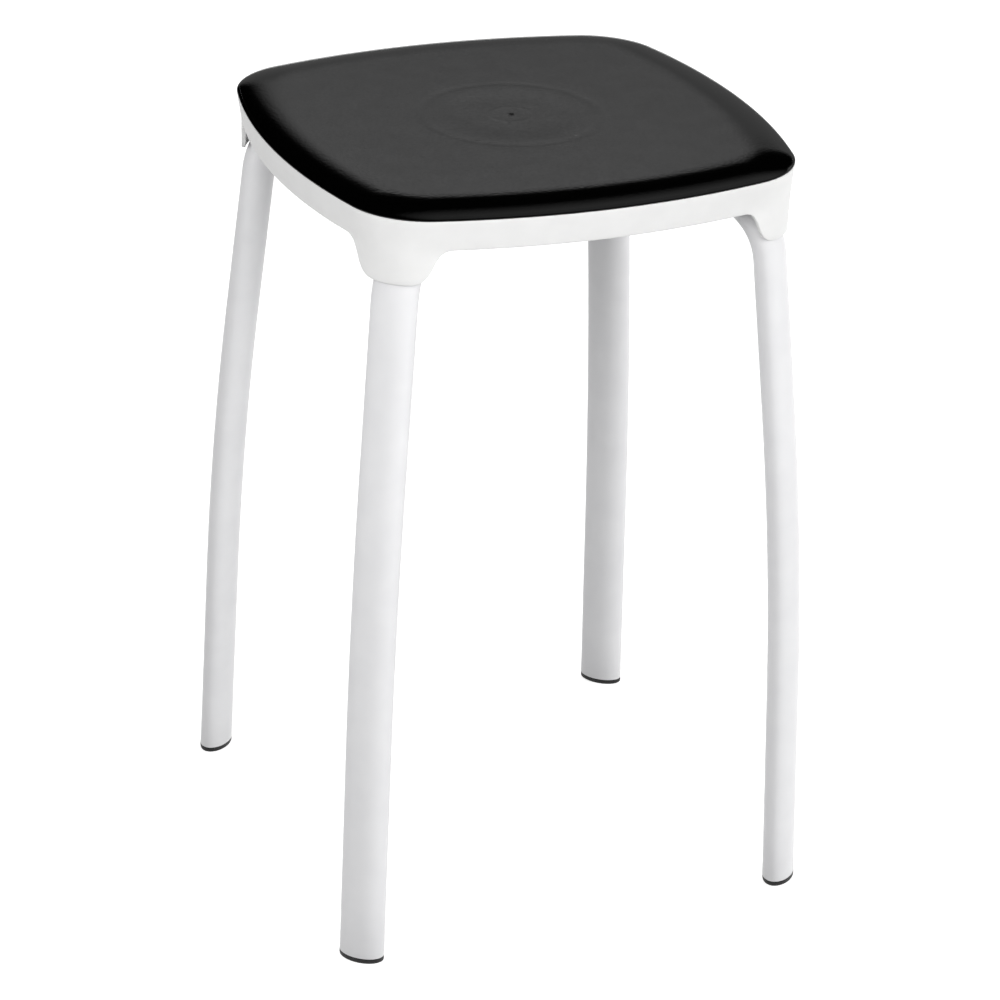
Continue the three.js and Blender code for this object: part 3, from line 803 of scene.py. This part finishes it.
def make_glide(corner):
    glide = oval(f"glide_{corner}", (FOOT_REACH, 0, 0), fill_type="NGON")
    extrude((0, 0, GLIDE_FLANGE))
    fill_open_side(glide)
    round_bottom(glide, 0, GLIDE_EDGE)
    pick(glide, "faces", lambda f: f.normal.z > 1 / 2)
    bpy.ops.mesh.inset(thickness=TUBE_WALL + GLIDE_SHANK_GAP)
    extrude((-GLIDE_SHANK * math.tan(LOWER_SPLAY), 0, GLIDE_SHANK))
    close_mesh()
    smooth(glide)
    return turned(glide, CORNER_TURNS[corner])


for corner in CORNERS:
    stand_for(make_glide(corner), f"foot_glide_{corner}", slot="black_glide")

# %% [markdown]
# The fasteners
#
# They show only from below. A screw with a low round head and a cross recess holds each half of
# each tube, and four shorter ones hold the seat. A bolt with a six-sided socket clamps the
# crossing. Each starts as a disc for its head: a bevel rounds it, an inset of its upper face
# is extruded into the shank, and a cutter makes the recess.

# %% Model a screw
HEAD_SIDES = 40
SCREW_RADIUS = 2 * MM
SCREW_HEAD_HEIGHT = 2.6 * MM
SCREW_HEAD_ROUND = 1.3 * MM
SCREW_TIP = 2 * MM
TIP_TAPER = 1 / 4
RECESS_WIDTH = 1.1 * MM
RECESS_SPAN = 4.4 * MM
RECESS_DEPTH = 1.4 * MM
RECESS_TAPER = 1 / 2


def make_fastener(node, head_height, head_round, shank_radius, tip, recess):
    """A screw or bolt that points up; recess gives the cutters for its head."""
    low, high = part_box(node)
    place = middle_of(node)
    head_radius = (high.x - low.x) / 2
    bearing = low.z + head_height
    piece = cylinder(f"{node}_turned", place, (low.z + bearing) / 2, head_radius,
                     bearing - low.z, HEAD_SIDES)
    freeze(piece)
    open_mesh(piece)
    round_bottom(piece, low.z, head_round)
    pick(piece, "faces", lambda f: f.normal.z > 1 / 2)
    bpy.ops.mesh.inset(thickness=head_radius - shank_radius)
    extrude((0, 0, high.z - tip - bearing))
    extrude((0, 0, tip))
    bpy.ops.transform.resize(value=(TIP_TAPER, TIP_TAPER, 1), center_override=ring_centre(piece))
    close_mesh()
    cut_out(piece, recess(place, low.z))
    smooth(piece)
    return piece


def cross_recess(place, low):
    """Two crossed bars that reach into a screw's head from below."""
    bars = []
    for turn in (0, QUARTER):
        bar = add_shape("bar", bpy.ops.mesh.primitive_cube_add, size=1,
                        location=(place.x, place.y, low))
        bar.scale = (RECESS_SPAN, RECESS_WIDTH, 2 * RECESS_DEPTH)
        bar.rotation_euler.z = turn
        freeze(bar)
        open_mesh(bar)
        pick(bar, "verts", lambda v: v.co.z > low)
        bpy.ops.transform.resize(value=(RECESS_TAPER, RECESS_TAPER, 1),
                                 center_override=(place.x, place.y, low))
        close_mesh()
        bars.append(bar)
    return bars


for node in SCREWS:
    screw = make_fastener(node, SCREW_HEAD_HEIGHT, SCREW_HEAD_ROUND, SCREW_RADIUS, SCREW_TIP,
                          cross_recess)
    stand_for(screw, node, slot="zinc_plate")

# %% Model the centre bolt and its washer
BOLT_RADIUS = 3 * MM
BOLT_HEAD_HEIGHT = 4 * MM
BOLT_HEAD_ROUND = 0.4 * MM
BOLT_TIP = 0.6 * MM
SOCKET_RADIUS = 2.3 * MM
SOCKET_DEPTH = 2.4 * MM
SOCKET_SIDES = 6
WASHER_ROUND = 0.25 * MM


def socket_recess(place, low):
    """A six-sided bar that reaches into the bolt's head from below."""
    return [cylinder("bar", place, low, SOCKET_RADIUS, 2 * SOCKET_DEPTH, SOCKET_SIDES)]


def make_ring(name, place, outer, inner, low, high):
    """A flat ring: a circle extruded to its height and thickened inwards."""
    ring = add_shape(name, bpy.ops.mesh.primitive_circle_add, vertices=HEAD_SIDES, radius=outer,
                     location=(place.x, place.y, low))
    freeze(ring)
    open_mesh(ring)
    extrude((0, 0, high - low))
    face_outwards()
    close_mesh()
    modify(ring, "SOLIDIFY", thickness=outer - inner, offset=-1, use_even_offset=True)
    return ring


def make_centre_washer():
    low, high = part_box("centre_washer")
    washer = make_ring("centre_washer_turned", middle_of("centre_washer"), (high.x - low.x) / 2,
                       BOLT_HOLE, low.z, high.z)
    round_edges(washer, WASHER_ROUND, segments=2)
    smooth(washer)
    return washer


centre_bolt = make_fastener("centre_bolt", BOLT_HEAD_HEIGHT, BOLT_HEAD_ROUND, BOLT_RADIUS,
                            BOLT_TIP, socket_recess)
stand_for(centre_bolt, "centre_bolt", slot="zinc_plate")
stand_for(make_centre_washer(), "centre_washer", slot="zinc_plate")

# %% [markdown]
# The curved washers
#
# A screw can't pull flat on a curved tube, so a thick black washer sits between them, flat below
# and hollowed above to the curve of the tube. It is a ring from which a bar with the tube's own
# oval section is cut away.

# %% Model the curved washers
SADDLE_WASHER_RADIUS = 7 * MM


def make_curved_washer(corner):
    node = f"saddle_washer_{corner}"
    low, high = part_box(node)
    place = middle_of(node)
    washer = make_ring(f"{node}_turned", place, SADDLE_WASHER_RADIUS, SCREW_HOLE, low.z,
                       high.z + SADDLE_WASHER_RADIUS / 2)
    tube = add_shape("bar", bpy.ops.mesh.primitive_cylinder_add, vertices=2 * TUBE_SIDES,
                     radius=1, depth=4 * SADDLE_WASHER_RADIUS, rotation=(0, QUARTER, 0))
    freeze(tube)
    tube.scale = (1, TUBE_WIDTH / 2 + SEAM, TUBE_DEPTH / 2 + SEAM)
    tube.rotation_euler.z = CORNER_TURNS[corner]
    tube.location = (place.x, place.y, RUN_Z)
    freeze(tube)
    cut_out(washer, [tube])
    smooth(washer)
    return washer


for corner in CORNERS:
    stand_for(make_curved_washer(corner), f"saddle_washer_{corner}", slot="black_glide")

# %% [markdown]
# Finishes
#
# Every finish here is made of nodes that read Object coordinates, so it holds still on the piece
# and needs no image. The seat is nearly black plastic from a grained mould. The grey of its flat
# is mostly the sheen of the room, which the grain breaks up a little. Over the rim the grain
# fades out and the plastic is made smoother, so it mirrors the room's dark parts. Its colour
# there is painted near black as shade, which deepens that dark band.
# The frame is white polypropylene with a satin face, and the tubes are powder coated, with the
# faint orange peel that the powder leaves when it melts.

# %% Helpers for materials
def grey(level):
    """A colour without a hue."""
    return (level, level, level)


def new_finish(name, roughness, specular):
    """A material with its shader, and the Object coordinates that its patterns read."""
    finish = bpy.data.materials.new(name)
    finish.use_nodes = True
    shader = finish.node_tree.nodes["Principled BSDF"]
    shader.inputs["Roughness"].default_value = roughness
    shader.inputs["Specular IOR Level"].default_value = specular
    return finish, shader, add_node(finish, "TexCoord", {}).outputs["Object"]


def feed(finish, socket, value):
    """Wire an output to a socket, or write a plain value or a colour there."""
    if isinstance(value, bpy.types.NodeSocket):
        finish.node_tree.links.new(value, socket)
    else:
        socket.default_value = (*value, 1) if socket.type == "RGBA" else value


def add_node(finish, kind, inputs, **settings):
    """Add a node of one kind, change its settings and feed its inputs."""
    node = finish.node_tree.nodes.new(f"ShaderNode{kind}")
    for name, value in settings.items():
        setattr(node, name, value)
    for key, value in inputs.items():
        feed(finish, node.inputs[key], value)
    return node


def noise(finish, place, size, detail=2, roughness=0.5):
    """Cloudy noise whose lumps are about one size across, in metres."""
    inputs = {"Vector": place, "Scale": 1 / size, "Detail": detail, "Roughness": roughness}
    return add_node(finish, "TexNoise", inputs).outputs["Fac"]


def cells(finish, place, size):
    """Small rounded cells, about one size across."""
    inputs = {"Vector": place, "Scale": 1 / size}
    return add_node(finish, "TexVoronoi", inputs, feature="SMOOTH_F1").outputs["Distance"]


def spread(finish, source, low, high, in_low=0, in_high=1, smooth_step=False):
    """Map a value from one range to another."""
    inputs = {"Value": source, "From Min": in_low, "From Max": in_high,
              "To Min": low, "To Max": high}
    kind = "SMOOTHSTEP" if smooth_step else "LINEAR"
    return add_node(finish, "MapRange", inputs, interpolation_type=kind).outputs["Result"]


# Of a Mix node's sockets, these take and give colours.
MIX_FIRST, MIX_SECOND = 6, 7
MIX_RESULT = 2


def mix_colours(finish, share, first, second):
    """Mix two colours by a share; a colour may be a tuple or a socket."""
    inputs = {"Factor": share, MIX_FIRST: first, MIX_SECOND: second}
    return add_node(finish, "Mix", inputs, data_type="RGBA").outputs[MIX_RESULT]


def bump(finish, shader, height, strength, distance):
    """Let a height pattern tilt the shading."""
    node = add_node(finish, "Bump", {"Height": height, "Strength": strength, "Distance": distance})
    feed(finish, shader.inputs["Normal"], node.outputs["Normal"])


def combine(finish, operation, first, second):
    """Join two values by one sum, such as MULTIPLY or MAXIMUM."""
    return add_node(finish, "Math", {0: first, 1: second}, operation=operation).outputs["Value"]


def along(finish, place, direction):
    """How far a point lies along a direction."""
    node = add_node(finish, "VectorMath", {0: place, 1: direction}, operation="DOT_PRODUCT")
    return node.outputs["Value"]


def from_axis(finish, place):
    """How far a point is from the upright line through the stool's middle."""
    flat = add_node(finish, "VectorMath", {0: place, 1: (1, 1, 0)}, operation="MULTIPLY")
    inputs = {0: flat.outputs["Vector"]}
    return add_node(finish, "VectorMath", inputs, operation="LENGTH").outputs["Value"]


def height_of(finish, place):
    """The height above the floor of the point that is shaded."""
    return add_node(finish, "SeparateXYZ", {"Vector": place}).outputs["Z"]


# %% Black polypropylene of the seat
GRAIN_TOP = (0.036, 0.036, 0.0365)
GRAIN_DEEP = grey(0.001)
# The rim's colour is painted near black as shade, to deepen the dark band that the rim mirrors.
RIM_PAINTED_SHADE = grey(0.0004)
GRAIN_SIZE = 1.8 * MM
GRAIN_HEIGHT = 0.16 * MM
CLOUD_SIZE = 14 * MM
CLOUD_SHARE = 0.4
# The grain fades in between these heights, and under them the rim's colour is painted shade.
# The circles in the middle dip below them, so they get the grain by distance, and it fades out
# this far round them.
SHADE_TO_GRAIN_STARTS = SEAT_TOP - 0.5 * MM
SHADE_TO_GRAIN_ENDS = SEAT_TOP - 0.02 * MM
DISC_BLEND = 5 * MM
# From polished to grained: the roughness and the strength of the bumps.
ROUGH_RANGE = (0.08, 0.15)
BUMP_RANGE = (0.2, 0.6)


def make_black_moulding():
    finish, shader, place = new_finish("black_moulded_seat", roughness=0.15, specular=0.5)
    height, radius = height_of(finish, place), from_axis(finish, place)
    top = spread(finish, height, 0, 1, SHADE_TO_GRAIN_STARTS, SHADE_TO_GRAIN_ENDS, smooth_step=True)
    middle = spread(finish, radius, 1, 0, DISC_RADIUS, DISC_RADIUS + DISC_BLEND)
    grain_and_rim_shade = combine(finish, "MAXIMUM", top, middle)
    grain = noise(finish, place, GRAIN_SIZE)
    cloud = noise(finish, place, CLOUD_SIZE, detail=4)
    grain_share = spread(finish, grain, 0, 1, in_low=0.25, in_high=0.75)
    cloud_share = spread(finish, cloud, 0, CLOUD_SHARE, in_low=0.35, in_high=0.7)
    grain_colour = mix_colours(finish, grain_share, GRAIN_DEEP, GRAIN_TOP)
    clouded = mix_colours(finish, cloud_share, grain_colour, GRAIN_DEEP)
    # Over the rim the colour goes to the painted shade.
    colour = mix_colours(finish, grain_and_rim_shade, RIM_PAINTED_SHADE, clouded)
    feed(finish, shader.inputs["Base Color"], colour)
    feed(finish, shader.inputs["Roughness"], spread(finish, grain_and_rim_shade, *ROUGH_RANGE))
    bump(finish, shader, grain, spread(finish, grain_and_rim_shade, *BUMP_RANGE), GRAIN_HEIGHT)
    return finish


# %% White polypropylene and powder coat
WHITE_PLASTIC = ((0.88, 0.88, 0.875), (0.855, 0.855, 0.85))
WHITE_COAT = ((0.84, 0.84, 0.85), (0.81, 0.81, 0.822))


def two_tone(finish, shader, pattern, starts, ends, colours):
    """Go from one colour to another as a pattern rises from starts to ends."""
    share = spread(finish, pattern, 0, 1, starts, ends)
    feed(finish, shader.inputs["Base Color"], mix_colours(finish, share, *colours))


def texture(finish, shader, pattern, smoothest, roughest, strength, height):
    """Let a pattern set the roughness and tilt the shading."""
    feed(finish, shader.inputs["Roughness"], spread(finish, pattern, smoothest, roughest))
    bump(finish, shader, pattern, strength, height)


def make_white_moulding():
    finish, shader, place = new_finish("white_moulded_frame", roughness=0.42, specular=0.4)
    cloud = noise(finish, place, size=14 * MM, detail=3)
    two_tone(finish, shader, cloud, starts=0.35, ends=0.65, colours=WHITE_PLASTIC)
    grain = noise(finish, place, size=0.5 * MM, detail=2)
    texture(finish, shader, grain, smoothest=0.38, roughest=0.5, strength=0.12, height=0.05 * MM)
    return finish


def make_powder_coat():
    finish, shader, place = new_finish("white_powder_coat", roughness=0.38, specular=0.5)
    cloud = noise(finish, place, size=22 * MM, detail=2)
    two_tone(finish, shader, cloud, starts=0.35, ends=0.65, colours=WHITE_COAT)
    peel = noise(finish, place, size=1.8 * MM, detail=1)
    texture(finish, shader, peel, smoothest=0.34, roughest=0.42, strength=0.15, height=0.08 * MM)
    return finish


# %% Black glides and zinc plate
GLIDE_BLACK = (grey(0.010), grey(0.022))
ZINC = ((0.62, 0.63, 0.65), (0.48, 0.49, 0.51))


def make_glide_black():
    finish, shader, place = new_finish("black_glide_plastic", roughness=0.5, specular=0.3)
    scuff = noise(finish, place, size=1.5 * MM, detail=4, roughness=0.6)
    two_tone(finish, shader, scuff, starts=0.5, ends=0.75, colours=GLIDE_BLACK)
    texture(finish, shader, scuff, smoothest=0.45, roughest=0.62, strength=0.15, height=0.08 * MM)
    return finish


def make_zinc():
    finish, shader, place = new_finish("zinc_plate", roughness=0.35, specular=0.5)
    shader.inputs["Metallic"].default_value = 1
    spangle = cells(finish, place, size=1.2 * MM)
    two_tone(finish, shader, spangle, starts=0.2, ends=0.8, colours=ZINC)
    texture(finish, shader, spangle, smoothest=0.28, roughest=0.45, strength=0.1, height=0.03 * MM)
    return finish


# %% Put the finishes on
FINISHES = {
    "black_polypropylene": make_black_moulding(),
    "white_polypropylene": make_white_moulding(),
    "white_powder_coat": make_powder_coat(),
    "black_glide": make_glide_black(),
    "zinc_plate": make_zinc(),
}


def put_on(piece, finish):
    """Give a piece one finish all over."""
    piece.data.materials.clear()
    piece.data.materials.append(finish)


for entry in frame["record"]["subparts"]:
    put_on(frame["nodes"][entry["node"]], FINISHES[entry["material_slot"]])

for piece, slot in dressed:
    put_on(piece, FINISHES[slot])

# %% [markdown]
# Floor, light and camera
#
# The stool stands in an empty white studio. The floor shows white to the camera by its own
# colour and keeps the stool's soft shadow. A large soft lamp stands at the right of the viewer, a
# smaller one close by on the left and one behind the stool for its back, and the world fills in
# softly.
#
# Glossy plastic shows what is round it, so in reflections the world is a room: a backdrop that
# brightens to its top edge, two dark openings in it, a dark ceiling and a soft window high at
# the right. Seen directly, the world is plain white.

# %% Floor
FLOOR_HALF = 30
FLOOR_DROP = 0.1 * MM
FLOOR_WHITE = 0.9
FLOOR_GLOW = 0.62
FLOOR_BOUNCE = 0.28


def shows_background(finish):
    """1 for what the camera sees, also through glass or in a reflection, and 0 for lighting."""
    path = add_node(finish, "LightPath", {}).outputs
    mirrored = combine(finish, "MAXIMUM", path["Is Glossy Ray"], path["Is Transmission Ray"])
    return combine(finish, "MAXIMUM", path["Is Camera Ray"], mirrored)


def make_floor():
    floor = add_shape("studio_floor", bpy.ops.mesh.primitive_plane_add, size=2 * FLOOR_HALF,
                      location=(0, 0, -FLOOR_DROP))
    freeze(floor)
    paint, shader, _ = new_finish("studio_floor", roughness=1, specular=0)
    seen = shows_background(paint)
    colour = mix_colours(paint, seen, grey(FLOOR_BOUNCE), grey(FLOOR_WHITE))
    feed(paint, shader.inputs["Base Color"], colour)
    feed(paint, shader.inputs["Emission Color"], grey(1))
    feed(paint, shader.inputs["Emission Strength"], spread(paint, seen, 0, FLOOR_GLOW))
    put_on(floor, paint)


make_floor()

# %% World
# The fill is brightest from the front right.
FILL_SIDE = (0.45, -0.75, 0.48)
FILL_FAR = 0.34
FILL_NEAR = 0.52
BACKDROP_WHITE = 1.0
# In reflections, the backdrop is in shade low down and brightens to its top edge.
BACKDROP_LOW = 0.18
BACKDROP_HIGH = 0.53
SHADE_FULL = math.sin(math.radians(15.5))
BACKDROP_TOP = math.sin(math.radians(26))
CEILING_STARTS = math.sin(math.radians(28))
CEILING_DARK = 0.0


def heading_to(azimuth, elevation):
    """The direction to a place in the room, by its two angles in degrees."""
    turn, tilt = math.radians(azimuth), math.radians(elevation)
    return (math.cos(turn) * math.cos(tilt), math.sin(turn) * math.cos(tilt), math.sin(tilt))


# The backdrop goes all round, but for two dark openings: a large one at the left behind the
# stool and a small one at the right. Each has its direction, and the cosines of the angles from
# it where the dark starts and is full.
OPENINGS = (
    (heading_to(112, 30), 0.81, 0.86),
    (heading_to(50, 24), 0.978, 0.989),
)
# A window high at the right lights the dark ceiling round it. Its edge is a cosine too.
WINDOW_SIDE = heading_to(20, 60)
WINDOW_EDGE = 0.84
WINDOW_MIDDLE = 0.97
WINDOW_LIGHT = 0.36


def make_world():
    world = bpy.data.worlds.new("studio")
    bpy.context.scene.world = world
    world.use_nodes = True
    in_mirror = add_node(world, "LightPath", {}).outputs["Is Glossy Ray"]
    heading = add_node(world, "TexCoord", {}).outputs["Generated"]
    height = height_of(world, heading)
    lit = spread(world, height, 0, 1, SHADE_FULL, BACKDROP_TOP, smooth_step=True)
    backdrop = mix_colours(world, lit, grey(BACKDROP_LOW), grey(BACKDROP_HIGH))
    to_window = along(world, heading, WINDOW_SIDE)
    near_window = spread(world, to_window, 0, 1, WINDOW_EDGE, WINDOW_MIDDLE)
    ceiling = mix_colours(world, near_window, grey(CEILING_DARK), grey(WINDOW_LIGHT))
    low = spread(world, height, 1, 0, BACKDROP_TOP, CEILING_STARTS, smooth_step=True)
    for side, starts, full in OPENINGS:
        beside = spread(world, along(world, heading, side), 1, 0, starts, full, smooth_step=True)
        low = combine(world, "MULTIPLY", low, beside)
    room = mix_colours(world, low, ceiling, backdrop)
    mirrored = mix_colours(world, in_mirror, grey(BACKDROP_WHITE), room)
    fill = spread(world, along(world, heading, FILL_SIDE), 0, 1, -1, 1)
    lighting = mix_colours(world, fill, grey(FILL_FAR), grey(FILL_NEAR))
    seen = mix_colours(world, shows_background(world), lighting, mirrored)
    feed(world, world.node_tree.nodes["Background"].inputs["Color"], seen)


make_world()

# %% Lamps
LAMPS = (
    # name, place, size, power
    ("key_lamp", Vector((2.6, -2.2, 1.3)), 1.8, 73),
    ("near_fill", Vector((-0.75, -0.75, 0.85)), 0.7, 6.8),
    ("back_fill", Vector((1.6, 2.6, 1.0)), 1.2, 36),
)
LAMP_AIM = Vector((0, 0, 0.5))


def make_lamps():
    for name, place, size, power in LAMPS:
        light = bpy.data.lights.new(name, "AREA")
        light.shape = "DISK"
        light.size = size
        light.energy = power
        lamp = bpy.data.objects.new(name, light)
        bpy.context.scene.collection.objects.link(lamp)
        lamp.location = place
        lamp.rotation_euler = (LAMP_AIM - place).to_track_quat("-Z", "Y").to_euler()
        lamp.visible_camera = False
        lamp.visible_glossy = False


make_lamps()

# %% [markdown]
# The camera's place was fitted to the photograph together with the stool's outline: a long lens
# that looks down on the stool from in front and a little to the left, with a slight roll.

# %% Camera
CAMERA_PLACE = Vector((-784.95, -1853.29, 1165.39)) * MM
CAMERA_TURN = math.radians(-22.973)
CAMERA_TILT = math.radians(25.416)
CAMERA_ROLL = math.radians(1.824)
SENSOR_WIDTH = 36
LENS = 135.83


def make_camera():
    data = bpy.data.cameras.new("camera")
    data.sensor_fit = "HORIZONTAL"
    data.sensor_width = SENSOR_WIDTH
    data.lens = LENS
    camera = bpy.data.objects.new("camera", data)
    bpy.context.scene.collection.objects.link(camera)
    back = Vector((math.sin(CAMERA_TURN) * math.cos(CAMERA_TILT),
                   -math.cos(CAMERA_TURN) * math.cos(CAMERA_TILT), math.sin(CAMERA_TILT)))
    right = Vector((math.cos(CAMERA_TURN), math.sin(CAMERA_TURN), 0))
    up = back.cross(right)
    rolled_right = right * math.cos(CAMERA_ROLL) + up * math.sin(CAMERA_ROLL)
    rolled_up = up * math.cos(CAMERA_ROLL) - right * math.sin(CAMERA_ROLL)
    axes = Matrix((rolled_right, rolled_up, back)).transposed()
    camera.matrix_world = Matrix.Translation(CAMERA_PLACE) @ axes.to_4x4()
    bpy.context.scene.camera = camera


make_camera()
bpy.context.scene.view_settings.view_transform = "Standard"

# %% Update the scene
bpy.context.view_layer.update()
